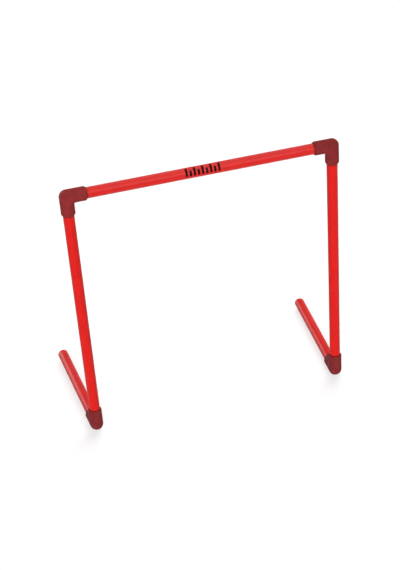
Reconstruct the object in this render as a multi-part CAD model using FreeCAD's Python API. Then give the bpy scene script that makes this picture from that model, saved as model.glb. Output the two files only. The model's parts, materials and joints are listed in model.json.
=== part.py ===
import FreeCAD
import Part
import math
import os

# Speed hurdle: five lengths of plastic tube pushed into four moulded elbows.
# Millimetres, Z up. The origin is on the floor, in the middle of the ground the hurdle covers.
# X runs along the crossbar, and the feet point towards +Y.

# The tube, one stock for all five lengths
TUBE_OD = 19.0
TUBE_WALL = 1.8
TUBE_END_CHAMFER = 0.4

# The standing frame
UPRIGHT_SPACING = 457.0  # from axis to axis
BAR_AXIS_HEIGHT = 475.0  # above the floor
FOOT_REACH = 238.0  # from the upright's axis to the far end of the foot
TOE_OUT_DEG = 3.5  # each foot turns out by this much from square to the crossbar

# The elbow, the same moulding at all four corners
ELBOW_OD = 24.0
ELBOW_ARM = 33.0  # from the corner where the axes cross to each mouth
CROTCH_RADIUS = 2.5  # the round in the inner corner
BEVEL_LENGTH = 2.2  # of the sloping rim round each mouth, along the arm
BEVEL_DEPTH = 1.4  # of the same rim, towards the axis
SOCKET_DEPTH = 20.5
SOCKET_LEAD_IN = 0.6
SOCKET_CLEARANCE = 0.05  # gap between tube and socket, measured on the radius

# The plug pushed into the free end of each foot
PLUG_HEAD_THICKNESS = 3.0
PLUG_EDGE_RADIUS = 2.2
PLUG_STEM_LENGTH = 14.0
PLUG_STEM_WALL = 1.7
PLUG_CLEARANCE = 0.05  # gap between barb and tube, measured on the radius
BARB_HEIGHT = 0.5
BARB_LENGTH = 2.4
BARB_SHARES = (0.15, 0.42, 0.69)  # where each barb starts along the stem

OVERRUN = 1.0  # how far a cutting shape runs past the face it opens

EIGHTH_TURN = 45
QUARTER_TURN = 90
HALF_TURN = 180
FULL_TURN = 360

# Sizes that follow from the ones above
tube_radius = TUBE_OD / 2
bore_radius = tube_radius - TUBE_WALL
socket_radius = tube_radius + SOCKET_CLEARANCE
elbow_radius = ELBOW_OD / 2
seat = ELBOW_ARM - SOCKET_DEPTH  # from the corner to the shoulder a tube end rests on
foot_axis_height = elbow_radius  # the lower elbows stand on the floor
side = UPRIGHT_SPACING / 2
toe_out = math.radians(TOE_OUT_DEG)
plug_flat_radius = tube_radius - PLUG_EDGE_RADIUS
plug_round_reach = FOOT_REACH - PLUG_EDGE_RADIUS
foot_depth = plug_round_reach * math.cos(toe_out) + plug_flat_radius * math.sin(toe_out) + PLUG_EDGE_RADIUS
frame_y = (elbow_radius - foot_depth) / 2  # sets the origin midway between front and back

crossbar_length = UPRIGHT_SPACING - 2 * seat
upright_length = BAR_AXIS_HEIGHT - foot_axis_height - 2 * seat
foot_tube_length = FOOT_REACH - PLUG_HEAD_THICKNESS - seat

ORIGIN = FreeCAD.Vector(0, 0, 0)
X_AXIS = FreeCAD.Vector(1, 0, 0)
Y_AXIS = FreeCAD.Vector(0, 1, 0)
Z_AXIS = FreeCAD.Vector(0, 0, 1)


def at(along, out):
    """A point of a profile: so far along the X axis, so far out from it."""
    return FreeCAD.Vector(along, 0, out)


def spun(edges):
    """The solid made by turning a closed profile once round the X axis."""
    profile = Part.Face(Part.Wire(edges))
    return profile.revolve(ORIGIN, X_AXIS, FULL_TURN)


def spun_outline(points):
    """The same, for a profile of straight lines given by its corners."""
    return spun(Part.makePolygon(points + points[:1]).Edges)


def turned(shape, axis, degrees):
    """A copy turned about an axis through the origin."""
    copy = shape.copy()
    copy.rotate(ORIGIN, axis, degrees)
    return copy


def moved(shape, x, y, z):
    """A copy carried to a place."""
    copy = shape.copy()
    copy.translate(FreeCAD.Vector(x, y, z))
    return copy


def tube(length):
    """A cut length of tube along +X from the origin, its outer edges eased."""
    eased_radius = tube_radius - TUBE_END_CHAMFER
    return spun_outline([
        at(0, bore_radius),
        at(0, eased_radius),
        at(TUBE_END_CHAMFER, tube_radius),
        at(length - TUBE_END_CHAMFER, tube_radius),
        at(length, eased_radius),
        at(length, bore_radius),
    ])


def elbow():
    """The elbow with its corner at the origin and its two sockets along +X and +Z."""
    bend_radius = elbow_radius + CROTCH_RADIUS

    # Each arm is a plain round bar with a sloping rim at its mouth
    arm = spun_outline([
        at(0, 0),
        at(0, elbow_radius),
        at(ELBOW_ARM - BEVEL_LENGTH, elbow_radius),
        at(ELBOW_ARM, elbow_radius - BEVEL_DEPTH),
        at(ELBOW_ARM, 0),
    ])
    upward_arm = turned(arm, Y_AXIS, -QUARTER_TURN)

    # A short bend rounds the inner corner and a ball closes the outer one
    bend_start = Part.Face(Part.Wire(Part.makeCircle(elbow_radius, at(bend_radius, 0), X_AXIS)))
    bend = bend_start.revolve(at(bend_radius, bend_radius), Y_AXIS, QUARTER_TURN)
    ball = Part.makeSphere(elbow_radius)
    outside = arm.fuse(bend).fuse(upward_arm).fuse(ball).removeSplitter()

    # Each socket ends on a shoulder, and a passage as wide as the tube's bore joins the two
    hollow = spun_outline([
        at(0, 0),
        at(0, bore_radius),
        at(seat, bore_radius),
        at(seat, socket_radius),
        at(ELBOW_ARM - SOCKET_LEAD_IN, socket_radius),
        at(ELBOW_ARM, socket_radius + SOCKET_LEAD_IN),
        at(ELBOW_ARM + OVERRUN, socket_radius + SOCKET_LEAD_IN),
        at(ELBOW_ARM + OVERRUN, 0),
    ])
    upward_hollow = turned(hollow, Y_AXIS, -QUARTER_TURN)
    passage_corner = Part.makeSphere(bore_radius)
    return outside.cut(hollow.fuse([upward_hollow, passage_corner]).removeSplitter())


def plug():
    """The plug with the underside of its head at the origin and its barbed stem along -X."""
    barb_radius = bore_radius - PLUG_CLEARANCE
    stem_radius = barb_radius - BARB_HEIGHT
    hollow_radius = stem_radius - PLUG_STEM_WALL

    # The head has the tube's outside diameter and a rounded outer edge
    round_start = PLUG_HEAD_THICKNESS - PLUG_EDGE_RADIUS
    halfway = PLUG_EDGE_RADIUS * math.cos(math.radians(EIGHTH_TURN))
    face_rim = at(PLUG_HEAD_THICKNESS, plug_flat_radius)
    edge_middle = at(round_start + halfway, plug_flat_radius + halfway)
    side_rim = at(round_start, tube_radius)
    rounded_edge = Part.Arc(face_rim, edge_middle, side_rim).toShape()

    # From the head's side, down the barbed stem, and back up the hollow inside it
    rest = [side_rim, at(0, tube_radius), at(0, stem_radius)]
    for share in BARB_SHARES:
        start = -share * PLUG_STEM_LENGTH
        rest.append(at(start, stem_radius))
        rest.append(at(start, barb_radius))
        rest.append(at(start - BARB_LENGTH, stem_radius))
    rest.append(at(-PLUG_STEM_LENGTH, stem_radius))
    rest.append(at(-PLUG_STEM_LENGTH, hollow_radius))
    rest.append(at(0, hollow_radius))
    rest.append(at(0, 0))
    rest.append(at(PLUG_HEAD_THICKNESS, 0))
    rest.append(face_rim)
    return spun([rounded_edge] + Part.makePolygon(rest).Edges)


def foot_piece(shape, hand):
    """A piece made along +X, turned to point back and out, and set under its upright."""
    backward = turned(shape, Z_AXIS, QUARTER_TURN - hand * TOE_OUT_DEG)
    return moved(backward, hand * side, frame_y, foot_axis_height)


# The frame: the crossbar, two upper elbows and two uprights
crossbar = tube(crossbar_length)
upright = turned(tube(upright_length), Y_AXIS, -QUARTER_TURN)
corner = elbow()
left_corner = turned(corner, X_AXIS, HALF_TURN)  # sockets along +X and down
right_corner = turned(corner, Y_AXIS, HALF_TURN)  # sockets along -X and down

# A foot: the lower elbow, its tube and the plug in the tube's free end
foot_tube = moved(tube(foot_tube_length), seat, 0, 0)
foot_plug = moved(plug(), seat + foot_tube_length, 0, 0)

LEFT = -1
RIGHT = 1
pieces = {
    "crossbar_tube": moved(crossbar, seat - side, frame_y, BAR_AXIS_HEIGHT),
    "upper_left_elbow": moved(left_corner, LEFT * side, frame_y, BAR_AXIS_HEIGHT),
    "upper_right_elbow": moved(right_corner, RIGHT * side, frame_y, BAR_AXIS_HEIGHT),
    "left_upright_tube": moved(upright, LEFT * side, frame_y, foot_axis_height + seat),
    "right_upright_tube": moved(upright, RIGHT * side, frame_y, foot_axis_height + seat),
    "lower_left_elbow": foot_piece(corner, LEFT),
    "lower_right_elbow": foot_piece(corner, RIGHT),
    "left_foot_tube": foot_piece(foot_tube, LEFT),
    "right_foot_tube": foot_piece(foot_tube, RIGHT),
    "left_foot_plug": foot_piece(foot_plug, LEFT),
    "right_foot_plug": foot_piece(foot_plug, RIGHT),
}

os.makedirs("parts", exist_ok=True)
for name, piece in pieces.items():
    piece.exportStep("parts/" + name + ".step")
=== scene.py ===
import json
import math

import bmesh
import bpy
from mathutils import Matrix, Vector


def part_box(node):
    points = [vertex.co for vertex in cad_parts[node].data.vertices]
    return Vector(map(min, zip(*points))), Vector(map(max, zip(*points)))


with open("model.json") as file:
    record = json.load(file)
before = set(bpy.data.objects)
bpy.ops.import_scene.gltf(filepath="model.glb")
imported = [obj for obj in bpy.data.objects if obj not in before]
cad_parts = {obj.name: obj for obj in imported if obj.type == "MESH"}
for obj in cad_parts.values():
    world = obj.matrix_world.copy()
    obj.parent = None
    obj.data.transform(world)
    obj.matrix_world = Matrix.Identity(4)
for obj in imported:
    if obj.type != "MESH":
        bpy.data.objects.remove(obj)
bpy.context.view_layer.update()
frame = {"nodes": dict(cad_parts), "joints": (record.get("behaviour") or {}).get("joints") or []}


# The crossbar: one cut length of extruded rigid plastic tube, bright red all through.
# The die leaves faint lines along it, and handling scuffs it. A dark ring of grime and painted contact
# shadow lies where an elbow grips it.
# A plain scale of black ticks is printed at its middle.
class Shade:
    """A shader socket that can stand in sums; each sum on values adds a Math node."""

    def __init__(self, tree, socket=None):
        self.tree = tree
        self.socket = socket

    def node(self, kind, inputs=None, out=0, **settings):
        """Adds a node: its settings first, then a value or a link for each named or numbered input.

        Gives the output asked for, or a list of them where out names several.
        """
        made = self.tree.nodes.new(kind)
        for name, value in settings.items():
            setattr(made, name, value)
        for key, value in (inputs or {}).items():
            if isinstance(value, Shade):
                self.tree.links.new(value.socket, made.inputs[key])
            else:
                made.inputs[key].default_value = value
        if isinstance(out, tuple):
            return [Shade(self.tree, made.outputs[key]) for key in out]
        return Shade(self.tree, made.outputs[out] if made.outputs else None)

    def maths(self, operation, first, second=0.0):
        """One Math node on values."""
        return self.node("ShaderNodeMath", {0: first, 1: second}, operation=operation)

    def __add__(self, other):
        return self.maths("ADD", self, other)

    __radd__ = __add__

    def __sub__(self, other):
        return self.maths("SUBTRACT", self, other)

    def __rsub__(self, other):
        return self.maths("SUBTRACT", other, self)

    def __mul__(self, other):
        return self.maths("MULTIPLY", self, other)

    __rmul__ = __mul__

    def __abs__(self):
        return self.maths("ABSOLUTE", self)

    def step(self, low, high):
        """0 below low, 1 above high, smooth between them."""
        inputs = {"Value": self, "From Min": low, "From Max": high}
        return self.node("ShaderNodeMapRange", inputs, interpolation_type="SMOOTHSTEP")

    def blend(self, below, above):
        """A colour that goes from below to above as this mask goes from 0 to 1."""
        # A Mix node's colour sockets are inputs 6 and 7 and output 2
        return self.node("ShaderNodeMix", {0: self, 6: below, 7: above}, out=2, data_type="RGBA")

    def parts(self):
        """The three components of a vector."""
        return self.node("ShaderNodeSeparateXYZ", {0: self}, out=(0, 1, 2))

    def stretched(self, factors):
        """A vector with each component times its own factor."""
        return self.node("ShaderNodeVectorMath", {0: self, 1: factors}, operation="MULTIPLY")

    def noise(self, scale, detail, roughness=0.5):
        """Cloudy noise over this vector, with about so many cells to the unit."""
        inputs = {"Vector": self, "Scale": scale, "Detail": detail, "Roughness": roughness}
        return self.node("ShaderNodeTexNoise", inputs)

    def seen_from(self, place, turn):
        """Object coordinates measured from a point on the piece, turned to lie along it."""
        whole = self.node("ShaderNodeTexCoord", out="Object")
        inputs = {"Vector": whole, "Location": place, "Rotation": turn}
        return self.node("ShaderNodeMapping", inputs, vector_type="TEXTURE")


def new_material(name):
    """An empty material, and a start for its nodes."""
    material = bpy.data.materials.new(name)
    material.use_nodes = True
    material.node_tree.nodes.clear()
    return material, Shade(material.node_tree)


millimetre = 0.001


def plastic(colour, roughness, height_mm, gloss):
    """A plastic surface from its worked-out colour, roughness and fine height."""
    bump = colour.node("ShaderNodeBump", {"Height": height_mm, "Distance": millimetre, "Strength": 1.0})
    inputs = {"Base Color": colour, "Roughness": roughness, "Normal": bump, "Specular IOR Level": gloss}
    return colour.node("ShaderNodeBsdfPrincipled", inputs)


def cover(material, surface):
    """Makes the surface what the material shows."""
    surface.node("ShaderNodeOutputMaterial", {"Surface": surface})
    return material


def toned(colour, tone):
    """A colour made lighter or darker, with the fourth number that a socket takes."""
    return tuple(channel * tone for channel in colour) + (1,)


tube_red = (0.82, 0.0172, 0.0142)
scuff_pink = (0.76, 0.080, 0.070, 1)
# This brown paints grime together with painted contact shadow where a tube meets an elbow
grime_and_shade_brown = (0.16, 0.012, 0.010, 1)
dark_streak, pale_streak = 0.89, 1.01
die_line_cells = (3, 620, 620)  # to the metre, along the tube and across it
scratch_cells = (900, 120, 120)
scuff_cover = 0.50
grime_and_shade_reach = 3.6 * millimetre
grime_and_shade_thin, grime_and_shade_patchy = 0.55, 0.60


def tube_plastic(name, place, turn, mouths, tone, gloss, satin, printing=None):
    """Extruded tube along the local X, measured from its middle.

    The mouths are where the elbows' ends lie on it, and satin is its least roughness.
    """
    material, shade = new_material(name)
    local = shade.seen_from(place, turn)
    along = local.parts()[0]

    # Die lines run the whole length, under soft clouds and a fine peel
    die_lines = local.stretched(die_line_cells).noise(scale=1.0, detail=3.0)
    clouds = local.noise(scale=55.0, detail=3.0)
    peel = local.noise(scale=420.0, detail=1.0)
    streaks = (clouds * 0.4 + die_lines * 0.6).step(0.36, 0.64)

    # Fine scratches cross the tube where it has been rubbed, and each mouth gets a dark ring of grime and
    # painted contact shadow
    scratches = local.stretched(scratch_cells).noise(scale=1.0, detail=4.0, roughness=0.65).step(0.62, 0.74)
    rubbed = local.noise(scale=21.0, detail=4.0).step(0.52, 0.68)
    scuffs = scratches * rubbed
    grime_and_shade = sum(1 - abs(along - mouth).step(0, grime_and_shade_reach) for mouth in mouths)

    colour = streaks.blend(toned(tube_red, dark_streak * tone), toned(tube_red, pale_streak * tone))
    colour = (scuffs * scuff_cover).blend(colour, scuff_pink)
    # This blend paints the mouth rings: partly grime, partly painted shade where the elbow's rim shadows
    # the tube
    colour = (grime_and_shade * (grime_and_shade_thin + peel * grime_and_shade_patchy)).blend(colour, grime_and_shade_brown)
    roughness = satin + die_lines * 0.10 + clouds * 0.06 + scuffs * 0.25 + grime_and_shade * 0.20
    height_mm = die_lines * 0.030 + clouds * 0.018 + peel * 0.012 - scuffs * 0.018
    surface = plastic(colour, roughness, height_mm, gloss)
    if printing:
        surface = shade.node("ShaderNodeMixShader", {0: printing(local), 1: surface, 2: ink(shade)})
    return cover(material, surface)


print_black = (0.010, 0.009, 0.009, 1)
ink_roughness = 0.6
ink_edge = 0.15 * millimetre
ink_wear = 0.6
bar_radius = 9.5 * millimetre
tick_pitch = 7.0 * millimetre
tick_width = 3.7 * millimetre
tick_foot = -7.6 * millimetre  # up round the tube from the scale's middle line, as the next two are
tick_short = 2.4 * millimetre
tick_tall = 8.2 * millimetre
scale_half_length = 31.0 * millimetre
scale_facing_deg = 34.0  # up from the front


def ink(shade):
    """The matte black of the scale."""
    inputs = {"Base Color": print_black, "Roughness": ink_roughness, "Specular IOR Level": 0.0}
    return shade.node("ShaderNodeBsdfPrincipled", inputs)


def past(distance, edge):
    """0 before an edge of the print, 1 after it."""
    return distance.step(edge - ink_edge, edge + ink_edge)


def tick_scale(local):
    """A mask of printed ticks on one base line, every other one taller, worn thin in spots."""
    along, y, z = local.parts()
    angle = local.maths("ARCTAN2", z, -1 * y)
    across = (angle - math.radians(scale_facing_deg)) * bar_radius
    from_tick = local.maths("PINGPONG", along, tick_pitch / 2)
    from_tall = local.maths("PINGPONG", along, tick_pitch)
    is_tall = 1 - past(from_tall, tick_pitch / 2)
    top = tick_short + is_tall * (tick_tall - tick_short)
    on_tick = 1 - past(from_tick, tick_width / 2)
    below_top = 1 - past(across - top, 0)
    above_foot = past(across, tick_foot)
    within_scale = 1 - past(abs(along), scale_half_length)
    worn = local.noise(scale=900.0, detail=3.0).step(0.66, 0.74)
    return on_tick * below_top * above_foot * within_scale * (1 - worn * ink_wear)


def dress(node, material):
    """Gives a piece its material."""
    frame["nodes"][node].material_slots[0].material = material


def middle(node):
    """The middle of a piece's box."""
    low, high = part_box(node)
    return (low + high) / 2


crossbar_middle = middle("crossbar_tube")
bar_mouth = crossbar_middle.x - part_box("upper_left_elbow")[1].x
# The crossbar is set a little darker than the uprights, at tone 0.94
dress("crossbar_tube", tube_plastic(
    "crossbar_red", crossbar_middle, turn=(0, 0, 0), mouths=(-bar_mouth, bar_mouth),
    tone=0.94, gloss=0.19, satin=0.13, printing=tick_scale,
))


# The upper elbows: injection-moulded rigid plastic, dark red and matte, pushed on at both top corners.
# The mould leaves a fine grain all over and a thin parting line where its halves met.
# Storage rubs the outer corner and the sloping rim of each mouth a little paler.
elbow_maroon = (0.268, 0.0260, 0.0242)
elbow_purple = (0.205, 0.0230, 0.0318)
worn_maroon = (0.36, 0.060, 0.060, 1)
dust_grey = (0.30, 0.22, 0.21, 1)
dark_cloud, pale_cloud = 0.86, 1.06
mottle_cover = 0.60
rub_cover = 0.45
parting_cover = 0.20
lip_grime_and_shade_cover = 0.80
elbow_gloss = 0.07
elbow_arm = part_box("upper_left_elbow")[1].x - middle("left_upright_tube").x
rim_length = 2.2 * millimetre
lip_length = 1.3 * millimetre
corner_reach = 12.0 * millimetre
parting_core, parting_edge = 0.10 * millimetre, 0.32 * millimetre


def elbow_plastic(name, corner, turn, tone, dust):
    """Moulded elbow whose sockets lie along the local X and Z, measured from where its axes cross."""
    material, shade = new_material(name)
    local = shade.seen_from(corner, turn)
    x, y, z = local.parts()
    grain = local.noise(scale=2300.0, detail=2.0)
    clouds = local.noise(scale=90.0, detail=3.0)
    spots = local.noise(scale=260.0, detail=3.0).step(0.42, 0.62)
    mottle = local.noise(scale=210.0, detail=3.0).step(0.42, 0.62)

    # The mould parted along the plane of both arms, and wear follows the rims and the outer corner
    parting = 1 - abs(y).step(parting_core, parting_edge)
    along_arm = shade.maths("MAXIMUM", x, z)
    rim = along_arm.step(elbow_arm - 1.2 * rim_length, elbow_arm - 0.8 * rim_length)
    lip_grime_and_shade = along_arm.step(elbow_arm - lip_length, elbow_arm)
    outward = (x + z) * -math.sqrt(0.5)
    knocked = outward.step(0.82 * corner_reach, corner_reach)
    rubbed = shade.maths("MAXIMUM", rim * 0.8, knocked) * spots

    dark, pale = toned(elbow_maroon, dark_cloud * tone), toned(elbow_maroon, pale_cloud * tone)
    colour = clouds.step(0.30, 0.70).blend(dark, pale)
    colour = (mottle * mottle_cover).blend(colour, toned(elbow_purple, tone))
    colour = (rubbed * rub_cover).blend(colour, worn_maroon)
    colour = (parting * parting_cover).blend(colour, worn_maroon)
    colour = (clouds * spots * dust).blend(colour, dust_grey)
    # The lip of each mouth is darkened: partly grime, partly painted contact shadow where the tube enters
    colour = (lip_grime_and_shade * lip_grime_and_shade_cover).blend(colour, grime_and_shade_brown)
    roughness = 0.55 + grain * 0.14 + clouds * 0.06 - rubbed * 0.10
    height_mm = grain * 0.032 + clouds * 0.016 + parting * 0.096
    return cover(material, plastic(colour, roughness, height_mm, elbow_gloss))


hands = ("left", "right")
upper_turns = {"left": (math.pi, 0, 0), "right": (0, math.pi, 0)}
# The two upper elbows are lit and shaded copies of one maroon: painted light makes the left one lighter
# than the right
upper_lit_and_shaded_tones = {"left": 1.17, "right": 1.01}
upper_dust = 0.04

for hand in hands:
    node = "upper_" + hand + "_elbow"
    corner = Vector((middle(hand + "_upright_tube").x, crossbar_middle.y, crossbar_middle.z))
    maroon = elbow_plastic(node + "_maroon", corner, upper_turns[hand], upper_lit_and_shaded_tones[hand], upper_dust)
    dress(node, maroon)


# The uprights: the same extruded tube, pushed up into the upper elbows.
# They stand in the lower elbows, which can turn round them. Hands polish them less than the crossbar.
tube_gloss = 0.10

for hand in hands:
    node = hand + "_upright_tube"
    upright_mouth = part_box("upper_left_elbow")[0].z - middle(node).z
    dress(node, tube_plastic(
        node + "_red", middle(node), turn=(0, -math.pi / 2, 0), mouths=(-upright_mouth, upright_mouth),
        tone=1.0, gloss=tube_gloss, satin=0.32,
    ))


# The lower elbows: the same moulding as the upper ones, one socket up and one towards the back.
# Each is a swivel: it turns round the end of its upright and takes its foot with it.
# Floor dust clings to it.
swivels = {joint["child"]: Vector(joint["pos_m"]) for joint in frame["joints"]}
# The lower elbows are a painted-shade copy of the same maroon, darker than the upper ones
lower_shaded_tone = 0.95
lower_dust = 0.12


def foot_turn(hand):
    """The turn about Z at which a foot leaves its upright, read from its tube."""
    out = middle(hand + "_foot_tube") - swivels[hand + "_foot"]
    return (0, 0, math.atan2(out.y, out.x))


for hand in hands:
    node = "lower_" + hand + "_elbow"
    corner = swivels[hand + "_foot"]
    dress(node, elbow_plastic(node + "_maroon", corner, foot_turn(hand), lower_shaded_tone, lower_dust))


# The foot tubes: the same extruded tube lying level, held at one end by a lower elbow.
# They swing flat for storage, so they rub against other hurdles first.
# The feet are lit and shaded copies of one red: painted shade darkens the left foot and painted light
# brightens the right
foot_lit_and_shaded_tones = {"left": 0.93, "right": 1.05}

for hand in hands:
    node = hand + "_foot_tube"
    foot_mouth = elbow_arm - (middle(node) - swivels[hand + "_foot"]).length
    dress(node, tube_plastic(
        node + "_red", middle(node), foot_turn(hand), mouths=(foot_mouth,),
        tone=foot_lit_and_shaded_tones[hand], gloss=0.08, satin=0.22,
    ))


# The plugs: small red mouldings pushed into the open ends of the feet, heads level with the tube.
# Fine rings from turning the mould show on the flat of the head, round a small gate mark.
plug_red = (0.77, 0.0165, 0.0135, 1)
plug_worn = (0.74, 0.075, 0.070, 1)
plug_rub_cover = 0.4
ring_pitch = 0.7 * millimetre
gate_core, gate_edge = 0.9 * millimetre, 1.3 * millimetre
rub_start, rub_full = 7.6 * millimetre, 9.0 * millimetre


def plug_plastic(name, place, turn):
    """Moulded plug whose axis is the local X."""
    material, shade = new_material(name)
    local = shade.seen_from(place, turn)
    y, z = local.parts()[1:]
    out = shade.maths("SQRT", y * y + z * z)
    rings = shade.maths("SINE", out * (2 * math.pi / ring_pitch)) * 0.5 + 0.5
    gate = 1 - out.step(gate_core, gate_edge)
    clouds = local.noise(scale=180.0, detail=3.0)
    rubbed = out.step(rub_start, rub_full) * clouds.step(0.45, 0.65)
    colour = (rubbed * plug_rub_cover).blend(plug_red, plug_worn)
    roughness = 0.28 + clouds * 0.12 + rubbed * 0.10
    height_mm = rings * 0.042 + gate * 0.084 + clouds * 0.024
    return cover(material, plastic(colour, roughness, height_mm, tube_gloss))


for hand in hands:
    node = hand + "_foot_plug"
    dress(node, plug_plastic(node + "_red", middle(node), foot_turn(hand)))


# The floor: a plain pale sheet that keeps the hurdle's shadow.
# Rays from the camera, and mirrored or refracted ones, find it lifted to white.
floor_half_width = 6.0
floor_grey = 0.52
floor_lift = 0.63
white = (1, 1, 1, 1)

sheet = bmesh.new()
bmesh.ops.create_grid(sheet, x_segments=2, y_segments=2, size=floor_half_width)
floor_mesh = bpy.data.meshes.new("floor")
sheet.to_mesh(floor_mesh)
sheet.free()
floor = bpy.data.objects.new("floor", floor_mesh)
bpy.context.scene.collection.objects.link(floor)


def seen_directly(shade):
    """1 for rays from the camera and for mirrored or refracted rays, 0 for the rest."""
    kinds = ("Is Camera Ray", "Is Glossy Ray", "Is Transmission Ray")
    from_camera, mirrored, refracted = shade.node("ShaderNodeLightPath", out=kinds)
    return shade.maths("MAXIMUM", from_camera, shade.maths("MAXIMUM", mirrored, refracted))


floor_material, shade = new_material("floor_pale")
matte = shade.node("ShaderNodeBsdfDiffuse", {"Color": (floor_grey, floor_grey, floor_grey, 1)})
glow = shade.node("ShaderNodeEmission", {"Color": white, "Strength": seen_directly(shade) * floor_lift})
floor_mesh.materials.append(cover(floor_material, shade.node("ShaderNodeAddShader", {0: matte, 1: glow})))


# The light: an even pale surround, and broad soft lamps in front, above and behind.
# The lamps leave no mirror image. The plastic's gloss comes from bright cards, as in a studio,
# three in an arch over the crossbar and one behind the feet.
surround_level = 0.06

world = bpy.data.worlds.new("surround")
world.use_nodes = True
world.node_tree.nodes.clear()
shade = Shade(world.node_tree)
strength = seen_directly(shade) * (1 - surround_level) + surround_level
sky = shade.node("ShaderNodeBackground", {"Color": white, "Strength": strength})
shade.node("ShaderNodeOutputWorld", {"Surface": sky})
bpy.context.scene.world = world


def direction(azimuth_deg, elevation_deg):
    """From the hurdle, 0 is the front and positive angles go to its right."""
    azimuth, elevation = math.radians(azimuth_deg), math.radians(elevation_deg)
    level = math.cos(elevation)
    return Vector((math.sin(azimuth) * level, -math.cos(azimuth) * level, math.sin(elevation)))


def lamp_at(name, kind, aim, azimuth_deg, elevation_deg, distance):
    """A lamp that stands off from a point in a direction and faces it."""
    lamp = bpy.data.lights.new(name, kind)
    holder = bpy.data.objects.new(name, lamp)
    away = direction(azimuth_deg, elevation_deg)
    holder.location = aim + away * distance
    holder.rotation_euler = away.to_track_quat("Z", "Y").to_euler()
    bpy.context.scene.collection.objects.link(holder)
    return lamp, holder


def broad_light(name, azimuth_deg, elevation_deg, spread_deg, level):
    """A broad distant lamp; at level 1 a white surface that faces it shows as white."""
    lamp, holder = lamp_at(name, "SUN", crossbar_middle, azimuth_deg, elevation_deg, distance=4.0)
    lamp.angle = math.radians(spread_deg)
    lamp.energy = level * math.pi
    holder.visible_glossy = False


broad_light("front_light", azimuth_deg=-17, elevation_deg=20, spread_deg=38, level=0.83)
broad_light("top_light", azimuth_deg=145, elevation_deg=43, spread_deg=45, level=0.65)
broad_light("back_light", azimuth_deg=180, elevation_deg=8, spread_deg=45, level=0.32)


def card(name, aim, azimuth_deg, elevation_deg, level, distance=3.0, size=2.0):
    """A square of even brightness, seen only by mirrored rays; level 1 is white."""
    lamp, holder = lamp_at(name, "AREA", aim, azimuth_deg, elevation_deg, distance)
    lamp.size = size
    lamp.energy = level * math.pi * size * size
    holder.visible_camera = False
    holder.visible_diffuse = False


left_heel = swivels["left_foot"]
card("arch_card_front", crossbar_middle, azimuth_deg=13, elevation_deg=26, level=2.4)
card("arch_card_top", crossbar_middle, azimuth_deg=29, elevation_deg=64, level=1.6)
card("arch_card_back", crossbar_middle, azimuth_deg=146, elevation_deg=68, level=1.2)
card("feet_card", left_heel, azimuth_deg=-150, elevation_deg=14, level=6.4, distance=2.8, size=1.7)


# The camera: stands in front of the hurdle, a little to its left, and looks down on it.
# It is slightly tilted, and its lens and distance give the photograph's frame.
photo_height = 570
focal_pixels = 1345.0
camera_azimuth_deg = -13.89
camera_elevation_deg = 32.24
camera_roll_deg = -4.45
camera_distance = 2.3294
camera_aim = Vector((-0.0179, crossbar_middle.y, 0.2555))

lens = bpy.data.cameras.new("photo_camera")
lens.sensor_width = 36.0
lens.lens = focal_pixels * lens.sensor_width / photo_height
camera = bpy.data.objects.new("photo_camera", lens)
back = direction(camera_azimuth_deg, camera_elevation_deg)
right = direction(camera_azimuth_deg + 90, 0)
level_axes = Matrix((right, back.cross(right), back)).transposed()
rolled = level_axes @ Matrix.Rotation(math.radians(camera_roll_deg), 3, "Z")
camera.matrix_world = Matrix.Translation(camera_aim + back * camera_distance) @ rolled.to_4x4()
bpy.context.scene.collection.objects.link(camera)
bpy.context.scene.camera = camera

bpy.context.scene.view_settings.view_transform = "Standard"
